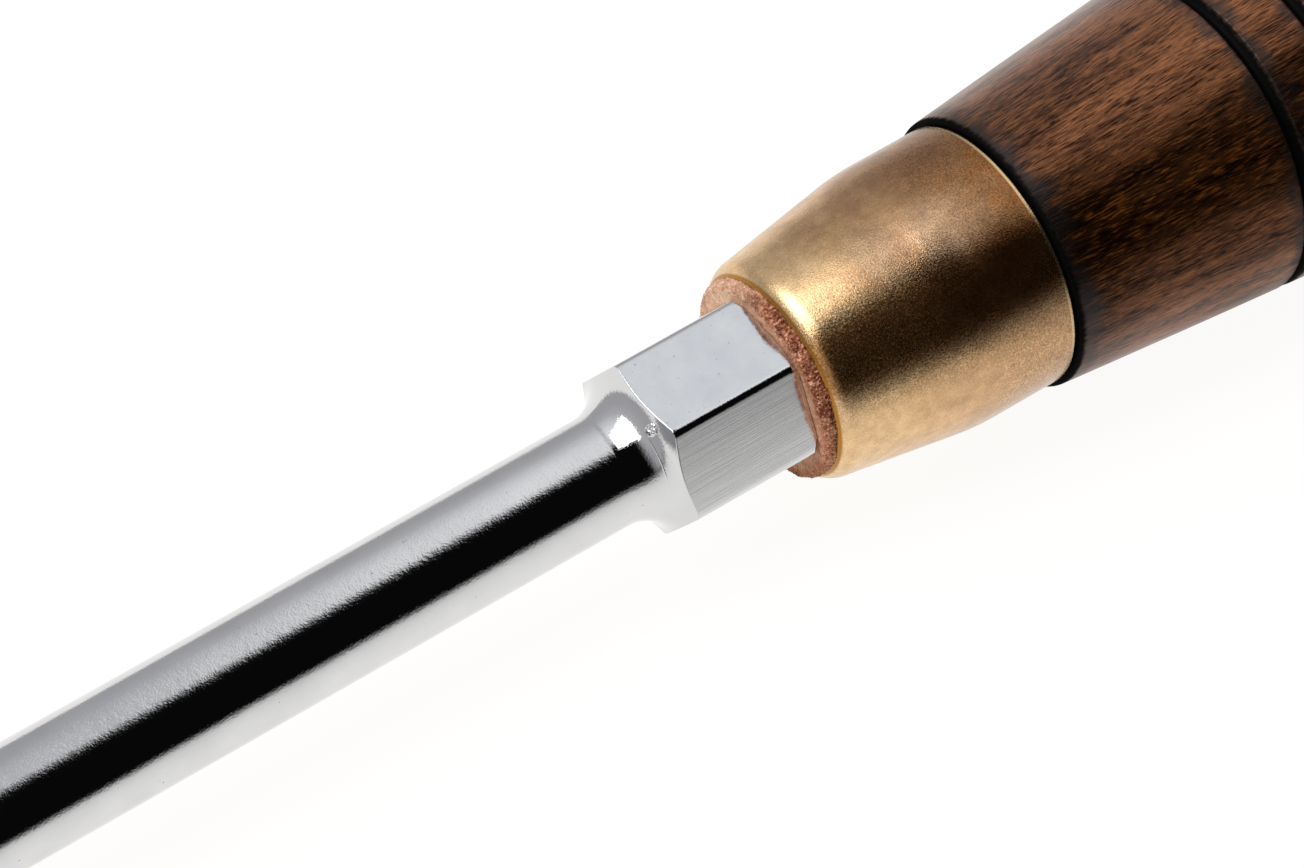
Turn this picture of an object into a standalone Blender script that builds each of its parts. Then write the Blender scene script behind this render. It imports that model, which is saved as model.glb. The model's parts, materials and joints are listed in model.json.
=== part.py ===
"""Cross-head screwdriver with a wooden handle on a through tang, lying on a bench.

The pieces are modelled on one upright axis: z = 0 is the bolster's back face, +z points to the tip.
An empty then lays the whole tool down, with the tip towards -X.
"""

from math import atan2, cos, hypot, pi, radians, sin, sqrt

import bpy
from mathutils import Matrix

# Blade: shank, bolster and flare
BLADE_LENGTH = 0.200
SHANK_RADIUS = 0.0045
BOLSTER_ACROSS_FLATS = 0.013
BOLSTER_LENGTH = 0.0112
BOLSTER_CORNER_TRIM = 0.0002
BOLSTER_BACK_CHAMFER = 0.0006
BOLSTER_TURN = radians(22)
FLARE_LENGTH = 0.0026

# Blade: cross tip
TIP_CONE_LENGTH = 0.0083
TIP_BLUNT_RADIUS = 0.00254
TIP_BLUNT_LENGTH = 0.0010
TIP_END_RADIUS = 0.0009
TIP_WEB_RADIUS = 0.00106
TIP_FLUTE_LENGTH = 0.0130
TIP_FLUTE_COUNT = 4

# Blade: tang and the end that is riveted over the cap
TANG_SIDE = 0.0065
RIVET_STEP = 0.0004
RIVET_HEAD_FLARE = 0.0014
RIVET_HEAD_DEPTH = 0.0014
RIVET_SINK = 0.0003

# Leather washer under the bolster
WASHER_THICKNESS = 0.0026
WASHER_PROUD = 0.0009

# Ferrule
FERRULE_LENGTH = 0.0209
FERRULE_RADIUS = 0.0112
FERRULE_MOUTH_RADIUS = 0.0085
FERRULE_LIP = 0.00095
FERRULE_LIP_LENGTH = 0.0021
FERRULE_BAND_LENGTH = 0.0080
FERRULE_WALL = 0.0009

# Handle
GRIP_LENGTH = 0.0965
GRIP_STEP = 0.00045
GRIP_SLOPE = 0.100
SWELL_RADIUS = 0.0160
SWELL_DISTANCE = 0.0650
RING_COUNT = 2
RING_DISTANCE = 0.0211
RING_PITCH = 0.0059
RING_WIDTH = 0.0009
RING_DEPTH = 0.0005
FLUTE_COUNT = 12
FLUTE_DEPTH = 0.0009
FLUTE_START = 0.0300
FLUTE_END_MARGIN = 0.0080
FLUTE_RUNOUT = 0.0110

# Butt: leather washer and striking cap
CAP_RADIUS = 0.0110
CAP_THICKNESS = 0.0045
CAP_EDGE = 0.0010
BUTT_WASHER_THICKNESS = 0.0030
BUTT_MARGIN = 0.0004

# Gap between pieces that bear on each other or fit together
FIT_GAP = 0.0003

# How far a cutter runs past what it cuts
CUTTER_MARGIN = 0.005

# Fineness of the round shapes
TURN_STEPS = 72
ARC_STEPS = 5
SWELL_STEPS = 14
REST_STEPS = 120

# Sizes that follow from the ones above
BOLSTER_POINT_RADIUS = BOLSTER_ACROSS_FLATS / 2 / cos(pi / 6)
BOLSTER_CORNER_RADIUS = BOLSTER_POINT_RADIUS - BOLSTER_CORNER_TRIM
TIP_FLUTE_CUTTER_RADIUS = 2 * SHANK_RADIUS
RIVET_RADIUS = TANG_SIDE / 2 - RIVET_STEP
RIVET_HEAD_RADIUS = RIVET_RADIUS + RIVET_HEAD_FLARE
TANG_HOLE_RADIUS = TANG_SIDE / sqrt(2) + FIT_GAP
RIVET_HOLE_RADIUS = RIVET_RADIUS + FIT_GAP
WASHER_RADIUS = FERRULE_MOUTH_RADIUS - FIT_GAP
FERRULE_CONE_RADIUS = FERRULE_MOUTH_RADIUS + FERRULE_LIP
GRIP_FRONT_RADIUS = FERRULE_RADIUS + GRIP_STEP
BUTT_WASHER_RADIUS = CAP_RADIUS + BUTT_MARGIN
GRIP_END_RADIUS = BUTT_WASHER_RADIUS + BUTT_MARGIN

# Stations along the axis, from the tip to the butt
TIP_BLUNT_Z = BLADE_LENGTH - TIP_BLUNT_LENGTH
SHANK_END_Z = TIP_BLUNT_Z - TIP_CONE_LENGTH
FLARE_Z = BOLSTER_LENGTH + FLARE_LENGTH
WASHER_FRONT_Z = -FIT_GAP
WASHER_BACK_Z = WASHER_FRONT_Z - WASHER_THICKNESS
MOUTH_Z = WASHER_FRONT_Z - WASHER_PROUD
LIP_Z = MOUTH_Z - FERRULE_LIP_LENGTH
FERRULE_BACK_Z = MOUTH_Z - FERRULE_LENGTH
BAND_Z = FERRULE_BACK_Z + FERRULE_BAND_LENGTH
NOSE_Z = WASHER_BACK_Z - FIT_GAP
GRIP_FRONT_Z = FERRULE_BACK_Z - FIT_GAP
GRIP_END_Z = GRIP_FRONT_Z - GRIP_LENGTH
BUTT_WASHER_FRONT_Z = GRIP_END_Z - FIT_GAP
BUTT_WASHER_BACK_Z = BUTT_WASHER_FRONT_Z - BUTT_WASHER_THICKNESS
CAP_FRONT_Z = BUTT_WASHER_BACK_Z - FIT_GAP
CAP_FACE_Z = CAP_FRONT_Z - CAP_THICKNESS
RIVET_END_Z = CAP_FACE_Z + RIVET_SINK
RIVET_HEAD_Z = RIVET_END_Z + RIVET_HEAD_DEPTH

SMOOTH_ANGLE = radians(30)
MERGE_DISTANCE = 1e-6


def clear_scene():
    for obj in list(bpy.data.objects):
        bpy.data.objects.remove(obj, do_unlink=True)


def new_collection(name):
    collection = bpy.data.collections.new(name)
    bpy.context.scene.collection.children.link(collection)
    return collection


def new_material(name, colour, roughness, metallic):
    material = bpy.data.materials.new(name)
    material.use_nodes = True
    shader = material.node_tree.nodes["Principled BSDF"]
    shader.inputs["Base Color"].default_value = (*colour, 1.0)
    shader.inputs["Roughness"].default_value = roughness
    shader.inputs["Metallic"].default_value = metallic
    return material


def arc(centre, half_size, start, end):
    """Points (radius, z) of an elliptical arc, with start and end in degrees from the radius direction."""
    points = []
    for step in range(ARC_STEPS + 1):
        angle = radians(start + (end - start) * step / ARC_STEPS)
        points.append((centre[0] + half_size[0] * cos(angle), centre[1] + half_size[1] * sin(angle)))
    return points


def turned(name, outline, collection, ring=False):
    """A solid turned from an outline of (radius, z) points, from the tip end to the butt end."""
    edges = [(i, i + 1) for i in range(len(outline) - 1)]
    if ring:
        edges.append((len(outline) - 1, 0))
    mesh = bpy.data.meshes.new(name)
    mesh.from_pydata([(radius, 0, z) for radius, z in outline], edges, [])
    obj = bpy.data.objects.new(name, mesh)
    collection.objects.link(obj)
    screw = obj.modifiers.new("turn", "SCREW")
    screw.steps = TURN_STEPS
    screw.render_steps = TURN_STEPS
    screw.use_merge_vertices = True
    screw.merge_threshold = MERGE_DISTANCE
    return obj


def prism(name, sides, radius, depth, matrix, collection):
    """A closed prism along its own z axis, first corner on x, used to cut or join another piece."""
    bpy.ops.mesh.primitive_cylinder_add(vertices=sides, radius=radius, depth=depth)
    obj = bpy.context.object
    obj.name = name
    obj.data.transform(Matrix.Rotation(-pi / 2, 4, "Z"))
    for owner in list(obj.users_collection):
        owner.objects.unlink(obj)
    collection.objects.link(obj)
    obj.matrix_world = matrix
    return obj


def join_or_cut(obj, helper, operation):
    helper.hide_render = True
    helper.display_type = "WIRE"
    boolean = obj.modifiers.new(helper.name, "BOOLEAN")
    boolean.operation = operation
    boolean.object = helper


def apply_modifiers(obj):
    evaluated = obj.evaluated_get(bpy.context.evaluated_depsgraph_get())
    mesh = bpy.data.meshes.new_from_object(evaluated)
    obj.modifiers.clear()
    obj.data = mesh
    mesh.name = obj.name


def along_axis(front_z, back_z):
    """Matrix of a helper centred between two stations."""
    return Matrix.Translation((0, 0, (front_z + back_z) / 2))


def make_blade(parts, helpers):
    flare_size = (BOLSTER_CORNER_RADIUS - SHANK_RADIUS, FLARE_LENGTH)
    flare = arc((BOLSTER_CORNER_RADIUS, FLARE_Z), flare_size, 180, 270)
    blade = turned(
        "blade",
        [
            (0, BLADE_LENGTH),
            (TIP_END_RADIUS, BLADE_LENGTH),
            (TIP_BLUNT_RADIUS, TIP_BLUNT_Z),
            (SHANK_RADIUS, SHANK_END_Z),
            *flare,
            (BOLSTER_CORNER_RADIUS, BOLSTER_BACK_CHAMFER),
            (BOLSTER_CORNER_RADIUS - BOLSTER_BACK_CHAMFER, 0),
            (0, 0),
        ],
        parts,
    )
    flats = prism(
        "bolster_flats",
        6,
        BOLSTER_POINT_RADIUS,
        BLADE_LENGTH + 2 * CUTTER_MARGIN,
        along_axis(BLADE_LENGTH, 0) @ Matrix.Rotation(BOLSTER_TURN, 4, "Z"),
        helpers,
    )
    join_or_cut(blade, flats, "INTERSECT")
    tang_start = BOLSTER_LENGTH / 2
    tang = prism(
        "tang",
        4,
        TANG_SIDE / sqrt(2),
        tang_start - GRIP_END_Z,
        along_axis(tang_start, GRIP_END_Z) @ Matrix.Rotation(pi / 4, 4, "Z"),
        helpers,
    )
    join_or_cut(blade, tang, "UNION")
    rivet = turned(
        "rivet",
        [
            (0, GRIP_END_Z + TANG_SIDE),
            (RIVET_RADIUS, GRIP_END_Z + TANG_SIDE),
            (RIVET_RADIUS, RIVET_HEAD_Z),
            (RIVET_HEAD_RADIUS, RIVET_END_Z),
            (0, RIVET_END_Z),
        ],
        helpers,
    )
    join_or_cut(blade, rivet, "UNION")
    slope = atan2(SHANK_RADIUS - TIP_WEB_RADIUS, TIP_FLUTE_LENGTH)
    for i in range(TIP_FLUTE_COUNT):
        around = Matrix.Rotation(2 * pi * i / TIP_FLUTE_COUNT, 4, "Z")
        flute_end = Matrix.Translation((TIP_WEB_RADIUS, 0, BLADE_LENGTH))
        lean = Matrix.Rotation(-slope, 4, "Y")
        outward = Matrix.Translation((TIP_FLUTE_CUTTER_RADIUS, 0, 0))
        cutter = prism(
            f"tip_flute_{i + 1}",
            4,
            TIP_FLUTE_CUTTER_RADIUS,
            2 * (TIP_FLUTE_LENGTH + CUTTER_MARGIN),
            around @ flute_end @ lean @ outward,
            helpers,
        )
        join_or_cut(blade, cutter, "DIFFERENCE")
    return blade


def make_washer(name, radius, hole_radius, front_z, back_z, parts):
    outline = [(radius, front_z), (radius, back_z), (hole_radius, back_z), (hole_radius, front_z)]
    return turned(name, outline, parts, ring=True)


def ferrule_bore():
    """Corners (radius, z) of the ferrule's bore, from its mouth to its back edge."""
    return [
        (FERRULE_MOUTH_RADIUS, MOUTH_Z),
        (FERRULE_CONE_RADIUS - FERRULE_WALL, LIP_Z),
        (FERRULE_RADIUS - FERRULE_WALL, BAND_Z),
        (FERRULE_RADIUS - FERRULE_WALL, FERRULE_BACK_Z),
    ]


def make_ferrule(parts):
    lip = arc((FERRULE_MOUTH_RADIUS, LIP_Z), (FERRULE_LIP, FERRULE_LIP_LENGTH), 90, 0)
    outside = lip + [(FERRULE_RADIUS, BAND_Z), (FERRULE_RADIUS, FERRULE_BACK_Z)]
    inside = ferrule_bore()[1:]
    return turned("ferrule", outside + inside[::-1], parts, ring=True)


def nose_outline():
    """The wooden nose, clear of the ferrule's bore by the fit gap, from its end to the grip."""
    bore = ferrule_bore()
    outline = []
    for (front_radius, front_z), (back_radius, back_z) in zip(bore, bore[1:]):
        if not outline and back_z <= NOSE_Z:
            share = (front_z - NOSE_Z) / (front_z - back_z)
            outline.append((front_radius + share * (back_radius - front_radius) - FIT_GAP, NOSE_Z))
        if outline and back_z < NOSE_Z:
            outline.append((back_radius - FIT_GAP, back_z))
    outline[-1] = (outline[-1][0], GRIP_FRONT_Z)
    return outline


def bezier(values, share):
    """Value at this share of the way along a cubic curve with four control values."""
    a, b, c, d = values
    rest = 1 - share
    return a * rest**3 + 3 * b * rest**2 * share + 3 * c * rest * share**2 + d * share**3


def grip_radius(distance):
    """Radius of the grip at this distance behind its front end, before rings and flutes are cut."""
    if distance <= SWELL_DISTANCE:
        third = GRIP_FRONT_RADIUS + GRIP_SLOPE * SWELL_DISTANCE / 3
        return bezier((GRIP_FRONT_RADIUS, third, SWELL_RADIUS, SWELL_RADIUS), distance / SWELL_DISTANCE)
    share = (distance - SWELL_DISTANCE) / (GRIP_LENGTH - SWELL_DISTANCE)
    return GRIP_END_RADIUS + (SWELL_RADIUS - GRIP_END_RADIUS) * sqrt(1 - share**3)


def flute_depth(distance, angle):
    """Depth of the grip flutes at this distance behind the grip's front end, with one flute at angle 0."""
    end = GRIP_LENGTH - FLUTE_END_MARGIN
    share = min(distance - FLUTE_START, end - distance, FLUTE_RUNOUT) / FLUTE_RUNOUT
    if share <= 0:
        return 0
    across = (1 + cos(FLUTE_COUNT * angle)) / 2
    return FLUTE_DEPTH * share**2 * (3 - 2 * share) * across**2


def ring_distances():
    return [RING_DISTANCE + i * RING_PITCH for i in range(RING_COUNT)]


def grip_outline():
    """The grip with its burnt rings, from the ferrule to the butt."""
    distances = [SWELL_DISTANCE * step / SWELL_STEPS for step in range(SWELL_STEPS)]
    behind = GRIP_LENGTH - SWELL_DISTANCE
    turns = [pi / 2 * step / SWELL_STEPS for step in range(SWELL_STEPS + 1)]
    distances += [SWELL_DISTANCE + behind * sin(turn) for turn in turns]
    rings = ring_distances()
    plain = [d for d in distances if all(abs(d - ring) > RING_WIDTH for ring in rings)]
    outline = [(d, grip_radius(d)) for d in plain]
    for ring in rings:
        for offset, depth in ((-RING_WIDTH / 2, 0), (0, RING_DEPTH), (RING_WIDTH / 2, 0)):
            outline.append((ring + offset, grip_radius(ring + offset) - depth))
    return [(radius, GRIP_FRONT_Z - distance) for distance, radius in sorted(outline)]


def make_handle(parts, helpers):
    outline = [(0, NOSE_Z), *nose_outline(), *grip_outline(), (0, GRIP_END_Z)]
    handle = turned("handle", outline, parts)
    apply_modifiers(handle)
    for vertex in handle.data.vertices:
        x, y, z = vertex.co
        if x or y:
            share = 1 - flute_depth(GRIP_FRONT_Z - z, atan2(y, x)) / hypot(x, y)
            vertex.co = (share * x, share * y, z)
    bore = prism(
        "tang_bore",
        4,
        (TANG_SIDE + 2 * FIT_GAP) / sqrt(2),
        NOSE_Z - GRIP_END_Z + 2 * CUTTER_MARGIN,
        along_axis(NOSE_Z, GRIP_END_Z) @ Matrix.Rotation(pi / 4, 4, "Z"),
        helpers,
    )
    join_or_cut(handle, bore, "DIFFERENCE")
    return handle


def make_cap(parts):
    edge = CAP_RADIUS - CAP_EDGE
    outline = [
        *arc((edge, CAP_FRONT_Z - CAP_EDGE), (CAP_EDGE, CAP_EDGE), 90, 0),
        *arc((edge, CAP_FACE_Z + CAP_EDGE), (CAP_EDGE, CAP_EDGE), 0, -90),
        (RIVET_HEAD_RADIUS + FIT_GAP, CAP_FACE_Z),
        (RIVET_HEAD_RADIUS + FIT_GAP, RIVET_END_Z),
        (RIVET_HOLE_RADIUS, RIVET_HEAD_Z),
        (RIVET_HOLE_RADIUS, CAP_FRONT_Z),
    ]
    return turned("striking_cap", outline, parts, ring=True)


def finish(obj, material):
    """Turns the modifiers into the piece's own mesh, shades it and gives it its material."""
    apply_modifiers(obj)
    obj.data.shade_smooth()
    obj.data.set_sharp_from_angle(angle=SMOOTH_ANGLE)
    obj.data.materials.clear()
    obj.data.materials.append(material)


def resting_depth(distance):
    """How far the grip reaches from the axis towards the bench, with one flute facing down."""
    angles = [pi / FLUTE_COUNT * step / REST_STEPS for step in range(REST_STEPS + 1)]
    return max((grip_radius(distance) - flute_depth(distance, angle)) * cos(angle) for angle in angles)


def resting_tilt():
    """Slope of the line that touches the shank's end and the lowest part of the grip."""
    distances = [GRIP_LENGTH * step / REST_STEPS for step in range(REST_STEPS + 1)]
    reach = SHANK_END_Z - GRIP_FRONT_Z
    return max(atan2(resting_depth(distance) - SHANK_RADIUS, reach + distance) for distance in distances)


def lay_on_bench(axis, pieces):
    """Turns the axis down and puts the origin under the middle of the tool, on the bench."""
    axis.rotation_euler = (0, -pi / 2 - resting_tilt(), 0)
    bpy.context.view_layer.update()
    points = [piece.matrix_world @ vertex.co for piece in pieces for vertex in piece.data.vertices]
    low = [min(point[i] for point in points) for i in range(3)]
    high = [max(point[i] for point in points) for i in range(3)]
    axis.location = (-(low[0] + high[0]) / 2, -(low[1] + high[1]) / 2, -low[2])


def main():
    clear_scene()
    parts = new_collection("cross_head_screwdriver")
    helpers = new_collection("cutters")
    chrome = new_material("chromed_steel", (0.78, 0.78, 0.79), 0.12, 1.0)
    tan_leather = new_material("tan_leather", (0.52, 0.27, 0.17), 0.75, 0.0)
    brass = new_material("satin_brass", (0.72, 0.48, 0.26), 0.30, 1.0)
    stained_wood = new_material("stained_wood", (0.10, 0.045, 0.022), 0.40, 0.0)
    butt_leather = new_material("butt_leather", (0.50, 0.28, 0.18), 0.75, 0.0)
    bright_steel = new_material("bright_steel", (0.66, 0.66, 0.67), 0.25, 1.0)
    pieces = {
        make_blade(parts, helpers): chrome,
        make_washer(
            "bolster_washer",
            WASHER_RADIUS,
            TANG_HOLE_RADIUS,
            WASHER_FRONT_Z,
            WASHER_BACK_Z,
            parts,
        ): tan_leather,
        make_ferrule(parts): brass,
        make_handle(parts, helpers): stained_wood,
        make_washer(
            "butt_washer",
            BUTT_WASHER_RADIUS,
            RIVET_HOLE_RADIUS,
            BUTT_WASHER_FRONT_Z,
            BUTT_WASHER_BACK_Z,
            parts,
        ): butt_leather,
        make_cap(parts): bright_steel,
    }
    bpy.context.view_layer.update()
    for piece, material in pieces.items():
        finish(piece, material)
    axis = bpy.data.objects.new("tool_axis", None)
    parts.objects.link(axis)
    for piece in pieces:
        piece.parent = axis
    lay_on_bench(axis, pieces)


main()
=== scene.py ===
import json
from math import acos, atan2, cos, hypot, pi, radians, sin, sqrt

import bpy
import numpy as np
from mathutils import Matrix, Vector


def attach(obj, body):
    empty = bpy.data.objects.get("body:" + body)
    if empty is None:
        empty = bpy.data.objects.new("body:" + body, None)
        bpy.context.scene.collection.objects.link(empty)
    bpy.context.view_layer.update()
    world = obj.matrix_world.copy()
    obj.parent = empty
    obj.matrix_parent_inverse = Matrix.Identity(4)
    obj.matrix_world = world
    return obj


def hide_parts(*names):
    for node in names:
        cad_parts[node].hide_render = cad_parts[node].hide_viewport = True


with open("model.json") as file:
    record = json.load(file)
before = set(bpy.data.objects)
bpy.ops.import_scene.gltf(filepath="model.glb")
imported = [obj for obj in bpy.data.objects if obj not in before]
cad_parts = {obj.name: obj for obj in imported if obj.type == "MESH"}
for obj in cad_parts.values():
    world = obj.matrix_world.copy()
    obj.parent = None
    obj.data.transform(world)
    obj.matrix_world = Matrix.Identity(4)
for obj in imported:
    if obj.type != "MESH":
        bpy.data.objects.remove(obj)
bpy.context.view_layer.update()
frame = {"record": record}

# Sizes are in metres, and z is a place on an axis from the back of the bolster to the tip
MM = 1000
CLOSE = 1e-6

# Shank, flare and bolster
BLADE_LENGTH = 0.19999
SHANK_RADIUS = 0.0045
SHANK_END_Z = 0.1907
FLARE_RADIUS = 0.0039
BOLSTER_FLAT = 0.0066
BOLSTER_CORNER = 0.00750
BOLSTER_LENGTH = 0.0112
BOLSTER_BACK_Z = -0.0003
BOLSTER_TURN = radians(22)
BACK_CHAMFER = 0.00055
BACK_EDGE = 0.00010
BACK_CORNER_START = 0.00685
FLAT_EDGE = 0.00006
FLATS_END_Z = 0.0125

# Cross tip, tang and rivet end
TIP_END_RADIUS = 0.0009
TIP_BLUNT_RADIUS = 0.00254
TIP_BLUNT_Z = 0.1990
TIP_WEB = 0.00106
TIP_FLUTE_COUNT = 4
TIP_FLUTE_LENGTH = 0.0130
TIP_FLUTE_RUNOUT = 0.005
TIP_FLUTE_SIZE = 0.0060
TANG_FRONT_Z = 0.0005
TANG_SIDE = 0.0065
TANG_EDGE = 0.0004
RIVET_RADIUS = 0.00285
RIVET_ROOT = 0.001
RIVET_NECK = 0.0017
RIVET_HEAD_RADIUS = 0.00425
RIVET_HEAD_RIM = 0.0003
# Radius and height above the cap's face, from the rim to the middle
RIVET_CROWN = ((RIVET_HEAD_RADIUS - 0.0004, 0.00012), (0.0020, 0.00002), (0, 0))

# Leather washers
WASHER_RADIUS = 0.0083
WASHER_HOLE_RADIUS = 0.0048
WASHER_FRONT_Z = BOLSTER_BACK_Z
WASHER_BACK_Z = -0.0030
WASHER_ROUNDING = (0.0008, 0.0006)
BUTT_WASHER_RADIUS = 0.0114
BUTT_HOLE_RADIUS = 0.0031
BUTT_ROUNDING = (0.0003, 0.0003)
LEATHER_BACK_EDGE = 0.0002
CUT_EDGE_DEPTH = 0.00035
CUT_EDGE_FADE = 0.00055
FACE_ROUGHNESS = 0.16

# Ferrule
MOUTH_RADIUS = 0.0084
MOUTH_Z = -0.0012
LIP_RADIUS = 0.0021
LIP_LEAN = 59
CONE_LEAN = 9
CONE_BEND = 0.021
CONE_BACK_Z = -0.0158
FERRULE_RADIUS = 0.0112
FERRULE_BACK_Z = -0.0221
FERRULE_RIM = 0.00018
FERRULE_WALL = 0.0009
SEAT_Z = -0.0141
BORE_MOUTH_RADIUS = 0.00855
BORE_MOUTH_Z = -0.0033

# Handle
NOSE_FRONT_RADIUS = 0.0081
NOSE_BACK_RADIUS = 0.0100
HANDLE_BORE_RADIUS = 0.0049
GRIP_FACE_Z = -0.0222
GRIP_FRONT_Z = -0.0224
GRIP_LENGTH = 0.0965
GRIP_END_Z = GRIP_FRONT_Z - GRIP_LENGTH
GRIP_FRONT_RADIUS = 0.01165
GRIP_SHOULDER = 0.0003
GRIP_SLOPE = 0.100
SWELL_RADIUS = 0.01599
SWELL_DISTANCE = 0.0650
GRIP_END_RADIUS = 0.0118
GRIP_END_EDGE = 0.0004
RING_DISTANCES = (0.0211, 0.0270)
RING_WIDTH = 0.0010
RING_DEPTH = 0.0005
RING_SPREAD = 1.3
RING_HOLLOW = 1.2
FLUTE_COUNT = 12
FLUTE_DEPTH = 0.0009
FLUTE_START = 0.0300
FLUTE_END = 0.0885
FLUTE_RUNOUT = 0.0110

# Striking cap
CAP_FRONT_Z = -0.1223
CAP_FACE_Z = -0.12699
CAP_RADIUS = 0.0110
CAP_HOLE_RADIUS = 0.0030
CAP_FRONT_EDGE = 0.0003
CAP_FACE_EDGE = 0.0010
CAP_SINK_EDGE = 0.0002
CAP_SINK_DEPTH = 0.0015

# Fineness of the meshes
STRIP_STEPS = 4
FLAT_STEPS = 36
FLARE_STEPS = 40
SHANK_STEPS = 18
CURVE_STEPS = 160
RIVET_STEPS = 96
WASHER_STEPS = 900
BUTT_STEPS = 600
FERRULE_STEPS = 288
HANDLE_STEPS = 288
CAP_STEPS = 192
LEATHER_FINE_DEPTH = 0.0008
LEATHER_FINE_SHARE = 0.6
SEED_SIZE = 0.001

# The tool's own axes in the frame: up, sideways and towards the tip
mounts = {mount["name"]: mount for mount in frame["record"]["mounts"]}
butt_way = Vector(mounts["striking_face"]["axis"]).normalized()
flat_places = [Vector(mounts[name]["pos_m"]) for name in ("spanner_flat_upper", "spanner_flat_lower")]
bolster_back = (flat_places[0] + flat_places[1]) / 2 + butt_way * BOLSTER_LENGTH / 2
sideways = Vector((0, 1, 0))
upwards = butt_way.cross(sideways)
tool = Matrix.Translation(bolster_back) @ Matrix((upwards, sideways, -butt_way)).transposed().to_4x4()


# Shaping
def only(obj):
    """Makes this the one selected object."""
    bpy.ops.object.select_all(action="DESELECT")
    obj.select_set(True)
    bpy.context.view_layer.objects.active = obj


def apply_modifier(obj, name):
    only(obj)
    bpy.ops.object.modifier_apply(modifier=name)


def turned(name, outline, steps):
    """Draws an outline of (radius, z) points by extruding one point, and turns it about the axis."""
    bpy.ops.object.select_all(action="DESELECT")
    bpy.ops.mesh.primitive_plane_add(size=SEED_SIZE, location=(outline[0][0], 0, outline[0][1]))
    obj = bpy.context.object
    obj.name = name
    bpy.ops.object.transform_apply(location=True, rotation=True, scale=True)
    bpy.ops.object.mode_set(mode="EDIT")
    bpy.ops.mesh.select_all(action="SELECT")
    bpy.ops.mesh.merge(type="CENTER")
    for (radius, z), (next_radius, next_z) in zip(outline, outline[1:]):
        step = (next_radius - radius, 0, next_z - z)
        bpy.ops.mesh.extrude_region_move(TRANSFORM_OT_translate={"value": step})
    bpy.ops.object.mode_set(mode="OBJECT")
    lathe = obj.modifiers.new("lathe", "SCREW")
    lathe.steps = steps
    lathe.render_steps = steps
    lathe.use_merge_vertices = True
    lathe.merge_threshold = CLOSE
    apply_modifier(obj, "lathe")
    bpy.ops.object.mode_set(mode="EDIT")
    bpy.ops.mesh.select_all(action="SELECT")
    bpy.ops.mesh.remove_doubles(threshold=CLOSE)
    bpy.ops.mesh.normals_make_consistent(inside=False)
    bpy.ops.object.mode_set(mode="OBJECT")
    return obj


def points_of(obj):
    points = np.empty(len(obj.data.vertices) * 3)
    obj.data.vertices.foreach_get("co", points)
    return points.reshape(-1, 3)


def move_points(obj, points):
    obj.data.vertices.foreach_set("co", points.reshape(-1))
    obj.data.update()


def arc(centre, half_size, start, end, count):
    """Points (radius, z) of an elliptical arc, with start and end in degrees from the radius direction."""
    angles = [radians(start + (end - start) * i / count) for i in range(count + 1)]
    return [(centre[0] + half_size[0] * cos(a), centre[1] + half_size[1] * sin(a)) for a in angles]


def stations(start, end, count):
    """Evenly spaced values from start up to end, without the end."""
    return [start + (end - start) * i / count for i in range(count)]


def bezier(a, b, c, d, share):
    rest = 1 - share
    return a * rest**3 + 3 * b * rest**2 * share + 3 * c * rest * share**2 + d * share**3


def cut(obj, cutter):
    boolean = obj.modifiers.new("cut", "BOOLEAN")
    boolean.operation = "DIFFERENCE"
    boolean.solver = "EXACT"
    boolean.object = cutter
    apply_modifier(obj, "cut")
    bpy.data.objects.remove(cutter, do_unlink=True)


def join(obj, other):
    only(obj)
    other.select_set(True)
    bpy.ops.object.join()


def place(obj, smooth):
    """Lays a finished piece on its place in the frame, with edges under so many degrees shaded smooth."""
    obj.matrix_world = tool
    only(obj)
    bpy.ops.object.transform_apply(location=True, rotation=True, scale=True)
    bpy.ops.object.shade_smooth_by_angle(angle=radians(smooth))
    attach(obj, "root")


# The blade: turned flare and shank, six flats, cross tip, square tang and rivet end
FLAT_COUNT = 6
SECTOR = 2 * pi / FLAT_COUNT
FLAT_SHARES = (0, 0.012, 0.04, 0.10, 0.25, 0.5, 0.75, 0.90, 0.96, 0.988, 1)
FLAT_TURNS = [BOLSTER_TURN + SECTOR / 2 + SECTOR * i for i in range(FLAT_COUNT)]
FLAT_WAYS = [Vector((cos(turn), sin(turn), 0)) for turn in FLAT_TURNS]
FLAT_ALIGNMENT = 0.9995

# The border of the bolster's back is turned at this radius and then moved out
BACK_RADIUS = 0.0030


def flare_curve():
    """The hollow flare from the shank to the corner of the bolster, tip side first."""
    end = acos(1 - (BOLSTER_CORNER - SHANK_RADIUS) / FLARE_RADIUS)
    turns = [end * i / CURVE_STEPS for i in range(CURVE_STEPS + 1)]
    radii = [SHANK_RADIUS + FLARE_RADIUS * (1 - cos(turn)) for turn in turns]
    heights = [BOLSTER_LENGTH + FLARE_RADIUS * (sin(end) - sin(turn)) for turn in turns]
    return radii, heights


def hexagon_radius(angle):
    """Radius of the trimmed hexagon at an angle from one of its corners."""
    from_flat = abs((angle % SECTOR) - SECTOR / 2)
    return min(BOLSTER_CORNER, BOLSTER_FLAT / cos(from_flat))


def column_angle(angle):
    """Shifts an even spacing so that the edges of the flats fall on columns, from a corner."""
    sector, share = divmod(angle / SECTOR + CLOSE, 1)
    steps = STRIP_STEPS + FLAT_STEPS
    trim = SECTOR / 2 - acos(BOLSTER_FLAT / BOLSTER_CORNER)
    half = STRIP_STEPS / 2
    at = share * steps
    if at <= half:
        turn = trim * at / half
    elif at >= steps - half:
        turn = SECTOR - trim * (steps - at) / half
    else:
        turn = trim + (SECTOR - 2 * trim) * (at - half) / FLAT_STEPS
    return sector * SECTOR + turn


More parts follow.
